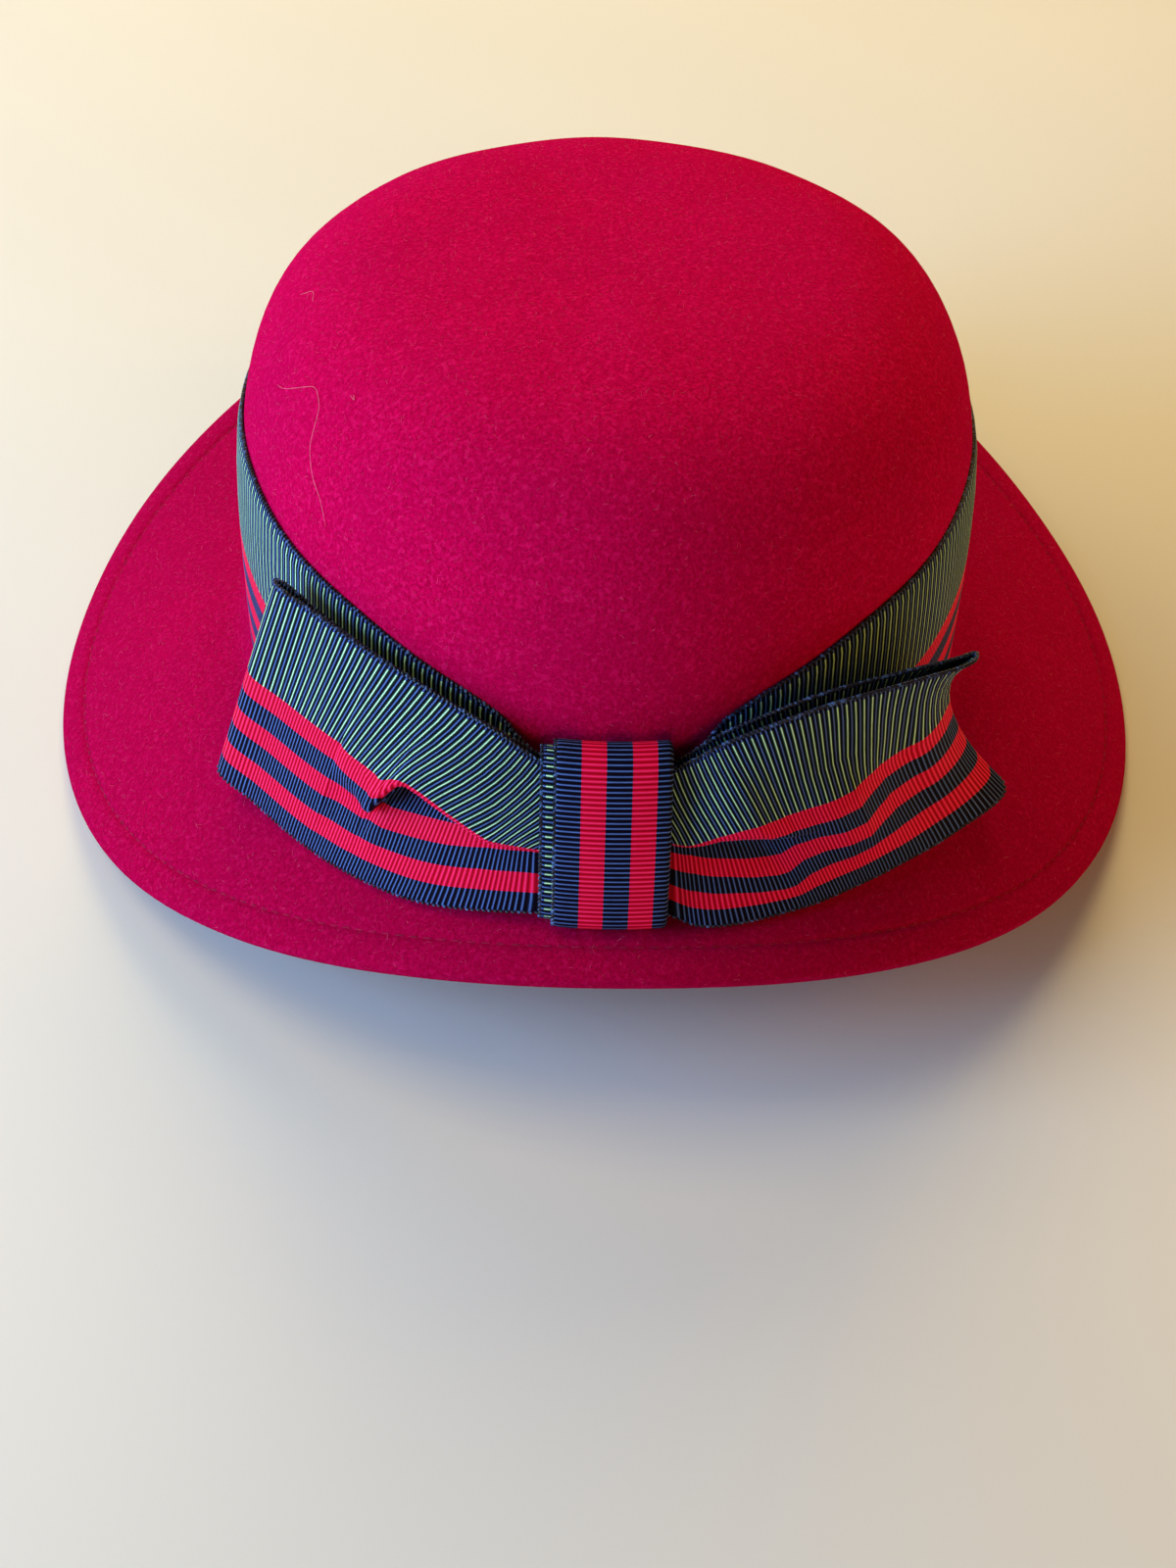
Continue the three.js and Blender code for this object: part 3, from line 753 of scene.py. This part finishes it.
fine = np.linspace(-180, 180, 2881)
band_round, band_turns = rib_columns(oval_point(fine), fine)
beside = np.abs(band_turns)
lift = 1 - smooth(beside, *KNOT_ENDS)
band_top = read_table(BAND_EDGE, "high", beside)
band_foot = np.maximum(band_top - RIBBON_WIDE, mix(FOOT_ON_BRIM, FOOT_OVER_KNOT, lift))
down_share = np.array([0, 0.012, 0.05, 0.2, 0.35, 0.5, 0.65, 0.8, 0.95, 0.988, 1.0])[:, None]
band_high = mix(band_top, band_foot, down_share)
band_out = mix(ON_WALL, OVER_KNOT, lift) - mix(EDGE_SNUG, 0, smooth(down_share, 0.0, 0.06))
band_rows = wall_point(np.broadcast_to(band_turns, band_high.shape), band_high, band_out)
hat_band = ribbon_piece("ribbon_band", band_rows, band_top - band_high)
band_loops = selvedge_loops("band_loops", band_rows)
print("band length, mm:", round(float(band_round)))

# %% [markdown]
# ## The bow's folded section
# The bow is one ring of ribbon pressed flat, with a pleat along its front to draw it in at the
# knot. Seen end on, the ribbon goes down, turns in under itself, runs back up a little and turns
# down again. The fold's angle is found by halving, so that the section just spans the distance
# between its edges.

# %% Section of pleated ribbon
FINE = np.linspace(0, RIBBON_WIDE, 441)
MIDDLES = (FINE[1:] + FINE[:-1]) / 2
MOST_FOLDED, HALVINGS = 0.97 * np.pi, 18


def section_traces(curl, fold, pleat, lengths):
    """Down and inward distances at the fine stops, for one section in each row."""
    lip, bend, rise = (pleat[key][:, None] for key in ("lip", "bend", "rise"))
    first = np.clip((MIDDLES - lip) / bend, 0, 1)
    second = np.clip((MIDDLES - lip - bend - rise) / bend, 0, 1)
    lean = curl[:, None] * (1 - 2 * MIDDLES / RIBBON_WIDE) + fold[:, None] * (first - second)
    start = np.zeros((len(curl), 1))
    steps = (np.cos(lean) * lengths, np.sin(lean) * lengths)
    return (np.concatenate([start, np.cumsum(step, 1)], 1) for step in steps)


def fold_for_chord(curl, chord, pleat, lengths):
    low, high = np.zeros(len(curl)), np.full(len(curl), MOST_FOLDED)
    for _ in range(HALVINGS):
        middle = (low + high) / 2
        down, inward = section_traces(curl, middle, pleat, lengths)
        too_long = np.hypot(down[:, -1], inward[:, -1]) > chord
        low, high = np.where(too_long, middle, low), np.where(too_long, high, middle)
    return low


# %% [markdown]
# ## The bow's path
# One short table holds the front layer, as a maker would pin it: where the upper edge and the foot
# lie, the gap to the layer behind, and how the ribbon curls. The back layer is the same strip
# nearer the crown, and each loop's end is a rounded fold. A closed smooth curve runs through all
# the pins.

# %% Pins of the front layer
BOW_FRONT = table("turn out high foot_turn foot_out foot_high gap curl", [
    (-49.3, 8.6, 50.6, -56, 20, -1, 1.8),
    (-43, 7.2, 49.5, -50.5, 17.3, -3.2, 2.6),
    (-34, 6.6, 47.5, -42, 16, -4.8, 2.6),
    (-25, 6.2, 44, -33.5, 16.2, -4.6, 2.2),
    (-15, 6.8, 38.5, -23, 16.6, -3.4, 2),
    (-8, 7.2, 32.6, -11, 15.4, -0.4, 2),
    (0, 7.2, 31, 0, 14.5, 1.3, 1.8),
    (4.5, 7.3, 31.4, 6.2, 14.8, 0.8, 1.9),
    (8, 7.4, 32.6, 11, 17.2, -2.1, 2),
    (14, 9, 38.5, 23.5, 17, -3.7, 3.2),
    (20.5, 11, 42.5, 31.5, 16.8, -4.3, 3.6, -0.02),
    (27.5, 12, 43.8, 38.5, 17.4, -4.7, 4, 0.06),
    (38, 14.3, 42.5, 48, 19.6, -5.2, 4, 0.34),
    (47, 18.6, 41.5, 57, 23.4, -3.4, 2.6, 0.8),
])
LAYERS_APART, LEFT_BACK_DROP = 5.2, 2.6
PAST_KNOT, BACK_HANGS, BACK_FREE = (10, 20), (10, 20, 40, 50), (28, 48)
WALL_ROOM, BRIM_ROOM = (5.2, 3.5), (4.1, 1.9)  # at the knot, and along the loops
END_TURN, END_FOOT_TURN, END_FOOT_RISE = 1.6, 1.2, 1.2


def curl_to_clear(top_out, foot_out, clear):
    """The curl that keeps a strip's middle clear of the crown's wall."""
    room, slope = (top_out + foot_out) / 2 - clear, (foot_out - top_out) / 2
    return 2 * (room + np.sqrt(np.maximum(room ** 2 - slope ** 2, 0))) / RIBBON_WIDE


def bow_sections():
    """Front layer from left to right, right fold, back layer from right to left, left fold."""
    turn, gap = BOW_FRONT["turn"], BOW_FRONT["gap"]
    front = {**BOW_FRONT, "pleat": turn * 0 + 1}
    off_knot = smooth(np.abs(turn), *PAST_KNOT)
    out, foot_out = front["out"] - gap, front["foot_out"] - LAYERS_APART
    foot_turn = front["foot_turn"]
    on_brim = brim_high(foot_turn, foot_out / round_the_head(BRIM_REACH, foot_turn))
    hugging = curl_to_clear(out, foot_out, mix(*WALL_ROOM, off_knot))
    low = LEFT_BACK_DROP * hump(-turn, *BACK_HANGS)
    back = {
        **front, "out": out, "high": front["high"] - low, "foot_out": foot_out,
        "foot_high": on_brim + mix(*BRIM_ROOM, off_knot),
        "curl": mix(hugging, front["curl"], smooth(np.abs(turn), *BACK_FREE)), "pleat": turn * 0,
    }

    def fold_at(end, side):
        move = {"turn": side * END_TURN, "foot_turn": side * END_FOOT_TURN, "out": -gap[end] / 2,
                "foot_out": -LAYERS_APART / 2, "foot_high": END_FOOT_RISE, "pleat": -1}
        return {key: column[[end]] + move.get(key, 0) for key, column in front.items()}

    turned_back = {key: column[::-1] for key, column in back.items()}
    layers = (front, fold_at(-1, 1), turned_back, fold_at(0, -1))
    return {key: np.concatenate([layer[key] for layer in layers]) for key in front}


# %% Smooth closed curve through pins
def closed_curve(pins, places):
    """Centripetal Catmull-Rom curve; a place runs from 0 to the number of pins."""
    i, t = np.floor(places).astype(int), (places % 1)[:, None]
    p0, p1, p2, p3 = (pins[(i + shift) % len(pins)] for shift in (-1, 0, 1, 2))
    pairs = ((p0, p1), (p1, p2), (p2, p3))
    d0, d1, d2 = (np.sqrt(np.linalg.norm(b - a, axis=1))[:, None] for a, b in pairs)
    m1 = ((p1 - p0) / d0 - (p2 - p0) / (d0 + d1) + (p2 - p1) / d1) * d1
    m2 = ((p2 - p1) / d1 - (p3 - p1) / (d1 + d2) + (p3 - p2) / d2) * d1
    return p1 + t * (m1 + t * (3 * (p2 - p1) - 2 * m1 - m2 + t * (2 * (p1 - p2) + m1 + m2)))


# %% [markdown]
# ## The bow
# Beside the knot the pleat is deep and pressed shut. Further out it gets shallow, opens into a
# pocket and ends as a soft crease. Two tables tell how far down its lip lies, how round its bends
# are, its fold in degrees and how much ribbon it hides. Then come the pushes of a finger: puff
# above the lip, lift of the lip, hollow under it, belly in the middle, sag below.

# %% Bow: lengths, sides and the two pleats
sections = bow_sections()
tops = wall_point(*(sections[key] for key in ("turn", "high", "out")))
feet = with_high(oval_point(sections["foot_turn"], 1, sections["foot_out"]), sections["foot_high"])
fine = np.linspace(0, len(tops), 4001)
bow_length, places = rib_columns((closed_curve(tops, fine) + closed_curve(feet, fine)) / 2, fine)
print("bow length, mm:", round(float(bow_length)))


def along_sections(key, soft=True):
    """A value of the sections at every place along the bow."""
    values, i = sections[key], np.floor(places).astype(int)
    share = smooth(places % 1, 0, 1) if soft else places % 1
    return mix(values[i % len(values)], values[(i + 1) % len(values)], share)


top_line, foot_line = closed_curve(tops, places), closed_curve(feet, places)
bow_turn, pleated = along_sections("turn", False), along_sections("pleat")
PLEAT_COLUMNS = "turn lip bend fold hidden puff lift hollow belly sag"
LEFT_PLEAT = table(PLEAT_COLUMNS, [
    (0, 24.9, 1.2, 172, 12.7),
    (8, 24.9, 1.2, 172, 12.7, 0.5, 0, 0.5),
    (12, 25.1, 1.3, 168, 11.3, 0.8, 0.2, 1),
    (14, 25.4, 1.5, 165, 9.4, 1, 0.6, 1.8),
    (16, 25.7, 1.6, 163, 7.6, 1.2, 1.3, 2.8, 0.2),
    (18, 25.9, 1.6, 162, 6.2, 1.4, 2.2, 4, 0.5),
    (20, 25.9, 1.6, 162, 5.4, 1.5, 3, 4.9, 0.8),
    (22, 25.9, 1.6, 162, 5, 1.5, 3.4, 5.1, 1.2),
    (23, 26.5, 1.5, 158, 4.4, 1.4, 3.1, 4.5, 1.5),
    (24, 29, 1.5, 140, 3.4, 0.8, 1.9, 2.8, 1.6),
    (25, 33, 2, 95, 2.2, 0.3, 0.2, 0.8, 1.4),
    (26, 32.4, 3, 62, 1.5, 0, 0, 0, 1),
    (28, 29.5, 4.5, 42, 1, 0, 0, 0, 0.4),
    (30, 27.5, 6, 30, 0.7),
    (34, 25, 7, 15, 0.4),
    (44, 25, 7),
])
RIGHT_PLEAT = table(PLEAT_COLUMNS, [
    (0, 24.9, 1.2, 172, 10.5, 0, 2.8),
    (8, 24.9, 1.2, 172, 9, 0.6, 2.7, 0.8),
    (10.5, 26.2, 1.2, 168, 5.6, 1.6, 2.9, 1.8, 0, 1.2),
    (12, 27.6, 1.2, 163, 4, 2.4, 3, 2.4, 0.2, 2.6),
    (13.5, 29.1, 1.3, 150, 3, 2.4, 2.7, 2.6, 0.4, 3.8),
    (14.5, 30.4, 1.5, 120, 2, 1.4, 2, 1.8, 0.6, 3.5),
    (16.5, 30.6, 2.4, 60, 1, 0.2, 0.9, 0.4, 0.8, 1),
    (19, 30, 3, 30, 1, 0, 0.3, 0, 1.4),
    (22, 29, 4, 5, 1, 0, 0, 0, 2.8),
    (25, 28, 5, 0, 1, 0, 0, 0, 3.2),
    (28, 28, 6, 0, 1, 0, 0, 0, 0.6),
    (31, 28, 7, 0, 1, 0, 0, 0, -0.8),
    (36, 28, 7, 0, 1, 0, 0, 0, -0.5),
    (44, 28, 7),
])
away, on_left = np.abs(bow_turn), smooth(-bow_turn, -2, 2)
pleat = {key: mix(*(np.interp(away, side["turn"], side[key]) for side in (RIGHT_PLEAT, LEFT_PLEAT)),
                  on_left) for key in PLEAT_COLUMNS.split()}

# %% [markdown]
# The pleat drags the ribs along the loop. A table gives how far they slide at each turn, from
# nothing at the upper edge to all of it below the lip. Ribs do not stretch, so a dragged rib spans
# less height.

# %% Bow: dragged ribs and folded sections
DRAG = table("turn slide", [
    (-44, 0), (-34, -4), (-27, -7), (-22.5, -9), (-16, -11.8), (-12, -13.3), (-6.5, -15), (5.8, 7),
    (8, 6), (12, 3), (16, -1), (20, -4), (24.5, -6.4), (27, -7), (34, -6), (44, 0)])
DRAG_WIDE, DRAG_BEND, DRAG_AT_FOOT = 26, 1.25, 0.85
LEAST_SPAN, CURL_TAKES, MOST_RISE = 0.2, 2.3, 13
drag = read_table(DRAG, "slide", bow_turn) * pleated
drag_share = np.clip(FINE / DRAG_WIDE, 0, 1) ** DRAG_BEND
drag_share = drag_share * mix(1, DRAG_AT_FOOT, smooth(FINE, DRAG_WIDE, RIBBON_WIDE))
fine_step = FINE[1] - FINE[0]
slide = np.diff(drag_share)[None] * np.abs(drag)[:, None] / fine_step
lengths = fine_step * np.sqrt(np.clip(1 - slide ** 2, LEAST_SPAN, 1))
outward = with_high(unit(oval_point(bow_turn, 1, 10) - oval_point(bow_turn)), 0)
chord = np.linalg.norm(foot_line - top_line, axis=1)
down = unit(foot_line - top_line)
inward = -unit(outward - down * (outward * down).sum(1, keepdims=True))
curl, wanted = along_sections("curl"), np.radians(np.maximum(pleat["fold"], 1))
spare = np.minimum(lengths.sum(1) - chord - CURL_TAKES * curl ** 2, pleat["hidden"])
left_over = spare - 2 * pleat["bend"] * (1 - np.sin(wanted) / wanted)
rise = np.clip(left_over / (1 - np.cos(wanted)), 0, MOST_RISE) * smooth(pleat["fold"], 50, 80)
pleat["rise"] = 0.1 + rise
fold = np.minimum(fold_for_chord(curl, chord, pleat, lengths), wanted) * pleated
trace_down, trace_in = section_traces(curl, fold, pleat, lengths)
scale = chord / np.hypot(trace_down[:, -1], trace_in[:, -1])
lean = np.arctan2(trace_in[:, -1], trace_down[:, -1])
print("deepest fold, degrees:", round(math.degrees(fold.max())))

# %% Bow: rows across
ABOVE = np.array([0, 0.35, 1.2, 5, 10, 15, 19, 22, 24])[:, None] / 25
BELOW = np.array([0.06, 0.2, 0.42, 0.64, 0.85, 0.965, 0.988, 1])[:, None]
ROUND = np.linspace(0, 1, 4)[:, None]
lip, bend, rise = (pleat[key][None] for key in ("lip", "bend", "rise"))
folded = lip + bend + rise
stops = np.concatenate([ABOVE * lip, lip + ROUND * bend, lip + bend + rise / 2,
                        folded + ROUND * bend, mix(folded + bend, RIBBON_WIDE, BELOW)])
column = np.arange(len(places))


def read_between(grid, row, index):
    """Values of a grid in the given rows, at places along them that need not be whole."""
    base = np.clip(np.floor(index).astype(int), 0, grid.shape[1] - 2)
    part = (index - base).reshape(*index.shape, *[1] * (grid.ndim - 2))
    return mix(grid[row, base], grid[row, base + 1], part)


at_down, at_in = (read_between(trace, column[None], stops / RIBBON_WIDE * (len(FINE) - 1))
                  for trace in (trace_down, trace_in))
strip_down = (at_down * np.cos(lean) + at_in * np.sin(lean)) * scale
strip_in = (at_in * np.cos(lean) - at_down * np.sin(lean)) * scale
pushed = (pleat["puff"] * hump(stops, 4, 16, lip - 1, folded)
          - pleat["hollow"] * hump(stops, lip, folded, folded + 1, folded + 10)
          + pleat["belly"] * hump(stops, 16, 28, 36, 50))
raised = pleat["lift"] * hump(stops, 5, lip, lip + bend, folded + 1)
sagged = pleat["sag"] * hump(stops, lip + bend, folded + 2, 42, RIBBON_WIDE)
strip_in -= pushed * pleated
strip_down += (sagged - raised) * pleated
straight_rows = top_line + strip_down[..., None] * down + strip_in[..., None] * inward

# %% [markdown]
# Each point of a rib is then taken from the straight surface at the place that the drag has slid it
# to, so the surface stays and the ribs run aslant on it.

# %% Bow: bend the ribs and build the piece
dragged = np.interp(stops, FINE, drag_share) * drag / (bow_length / len(places))
came_from = np.maximum.accumulate(column - dragged, axis=1)
index = np.stack([np.interp(column, row, column) for row in came_from])
rows = np.arange(len(stops))[:, None]
bow_rows = read_between(straight_rows, rows, index)
bow = ribbon_piece("ribbon_bow", bow_rows, read_between(stops, rows, index))
bow_loops = selvedge_loops("bow_loops", bow_rows)

# %% [markdown]
# ## The knot
# A short piece of the same ribbon is folded in half lengthwise and wrapped round the bow's middle.
# Its fold lies on the right, both selvedges on the left, and the under ply peeps out. Its path goes
# down outside the bow, in under it, up the crown and back over the top.

# %% Knot
KNOT_PATH = np.array([
    (11.4, 31), (14.6, 22), (16.9, 13), (17.8, 5), (18, 0.1), (16, -1.9), (10, -0.4), (4.6, 0.8),
    (1.7, 1.8), (1.1, 4.5), (1.1, 17), (1.1, 29.6), (1.5, 34.9), (5.2, 36.9), (9.3, 35.3)])
KNOT_LEFT, KNOT_RIGHT, KNOT_UNDER_LEFT, PLY_GAP = 11.3, 11.5, 14, 1.4
EDGE_STOPS = np.array([0.35, 0.9])
fine = np.linspace(0, len(KNOT_PATH), 4001)
knot_round, knot_places = rib_columns(closed_curve(KNOT_PATH, fine), fine)
knot_ring = closed_curve(KNOT_PATH, knot_places)
step = np.roll(knot_ring, -1, 0) - np.roll(knot_ring, 1, 0)
knot_in = unit(np.stack([step[:, 1], -step[:, 0]], -1))

fold_from = KNOT_RIGHT - PLY_GAP / 2
bend = np.radians(np.linspace(-90, 90, 9)[1:-1])
main_ply = np.insert(np.linspace(-KNOT_LEFT, fold_from, 14), 1, EDGE_STOPS - KNOT_LEFT)
under_ply = np.insert(np.linspace(-KNOT_UNDER_LEFT, fold_from, 12), 1, EDGE_STOPS - KNOT_UNDER_LEFT)
under_ply = under_ply[::-1]
knot_across = np.concatenate([main_ply, KNOT_RIGHT - PLY_GAP / 2 * (1 - np.cos(bend)), under_ply])
knot_ply = np.concatenate([0 * main_ply, (1 + np.sin(bend)) / 2, 0 * under_ply + 1])
walked = walked_along(np.hypot(np.diff(knot_across), PLY_GAP * np.diff(knot_ply)))
folded_at = walked[len(main_ply) + len(bend)]
stripes = np.interp(walked, [0, folded_at, walked[-1]], [0, folded_at, RIBBON_WIDE])
knot_place = knot_ring + knot_in * (PLY_GAP * knot_ply)[:, None, None]
mean_round = HEAD_HALF_WIDE * (1 - EGG_SHAPE) + knot_place[..., 0] * HEAD_HALF_LONG / HEAD_HALF_WIDE
knot_turn = np.degrees(knot_across[:, None] / mean_round)
knot_rows = wall_point(knot_turn, knot_place[..., 1], knot_place[..., 0])
stripes = np.broadcast_to((RIBBON_WIDE - stripes)[:, None], knot_turn.shape)
knot = ribbon_piece("ribbon_knot", knot_rows, stripes)
knot_loops = selvedge_loops("knot_loops", knot_rows)
print("knot length, mm:", round(float(knot_round)))

# %% [markdown]
# ## Table, light and camera
# A pale table, cool daylight from a low window on the left, warm light from above and beyond the
# hat, a small warm lamp on the right and a broad low glow behind the camera, which looks down on
# the bow.

# %% Table top
TABLE_HALF, TABLE_TONES = 6000, ((0.74, 0.77, 0.82), (0.78, 0.81, 0.86))
f = Finish("pale_table")
colour = f.blend(f.noise(f.place(), 3, 2).step(0.3, 0.7), *TABLE_TONES)
table_finish = f.surface({"Base Color": colour, "Roughness": 0.7, "Specular IOR Level": 0.2})
corners = np.array([[-1, -1, 0], [1, -1, 0], [1, 1, 0], [-1, 1, 0]]) * TABLE_HALF
tabletop = mesh_piece("table_top", corners, [[0, 1, 2, 3]], table_finish)
print("table, m:", 2 * TABLE_HALF * MM)

# %% Lights
HAT_MIDDLE, WORLD_STRENGTH = Vector((0, 0, 0.06)), 0.035
# Each light: its place and size in metres, its watts and its colour.
LIGHTS = {
    "window": ((-1.0, -0.4, 0.4), 0.7, 17.5, (0.46, 0.72, 1.0)),
    "window_top": ((-0.7, 0.1, 1.0), 0.7, 6, (1.0, 0.74, 0.3)),
    "window_far": ((-0.8, 0.9, 0.6), 0.7, 2.5, (0.2, 0.6, 1.0)),
    "room": ((0, 1.0, 0.9), 0.8, 12, (1.0, 0.7, 0.26)),
    "lamp": ((1.0, -0.05, 0.3), 0.5, 3.3, (1.0, 0.42, 0.04)),
    "low_glow": ((0, -2.6, 0.6), 1.2, 12, (1.0, 0.45, 0.06)),
}
for name, (place, size, watts, colour) in LIGHTS.items():
    lamp = add_object(name, bpy.data.lights.new(name, "AREA"))
    lamp.location = place
    lamp.rotation_euler = (HAT_MIDDLE - lamp.location).to_track_quat("-Z", "Y").to_euler()
    lamp.data.size, lamp.data.energy, lamp.data.color = size, watts, colour
world = bpy.data.worlds.new("room")
world.use_nodes = True
world.node_tree.nodes["Background"].inputs["Color"].default_value = (1.0, 1.0, 1.0, 1)
world.node_tree.nodes["Background"].inputs["Strength"].default_value = WORLD_STRENGTH
bpy.context.scene.world = world
bpy.context.scene.view_settings.view_transform = "Standard"
print("lights:", len(LIGHTS))

# %% Camera
CAMERA_AIM = Vector((-0.0021, -0.0051, 0))
CAMERA_TURN, CAMERA_UP, CAMERA_ROLL = (math.radians(d) for d in (-1.82, 41.12, 2.11))
CAMERA_FAR, LENS, LENS_SHIFT, NEAREST = 0.6143, 54.66, -0.0625, 0.01
level = math.cos(CAMERA_UP)
back = Vector((math.sin(CAMERA_TURN) * level, -math.cos(CAMERA_TURN) * level, math.sin(CAMERA_UP)))
camera = add_object("camera", bpy.data.cameras.new("camera"))
camera.location = CAMERA_AIM + back * CAMERA_FAR
camera.rotation_mode = "QUATERNION"
camera.rotation_quaternion = (-back).to_track_quat("-Z", "Y") @ Quaternion((0, 0, 1), CAMERA_ROLL)
camera.data.lens, camera.data.shift_y, camera.data.clip_start = LENS, LENS_SHIFT, NEAREST
bpy.context.scene.camera = camera
print("camera height, m:", round(camera.location.z, 3))

# %% [markdown]
# ## Telling the frame what is what
# Every piece rides on the hat's one body. The skins replace the plain solids, which are hidden.

# %% Ride and replace
for piece in (felt, stitches, *naps, hairs):
    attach(piece, "root")
for piece in (hat_band, bow, knot, *band_loops, *bow_loops, *knot_loops):
    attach(piece, "root")
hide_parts("felt_body")
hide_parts("hat_band")
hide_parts("bow_loops")
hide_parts("bow_knot")
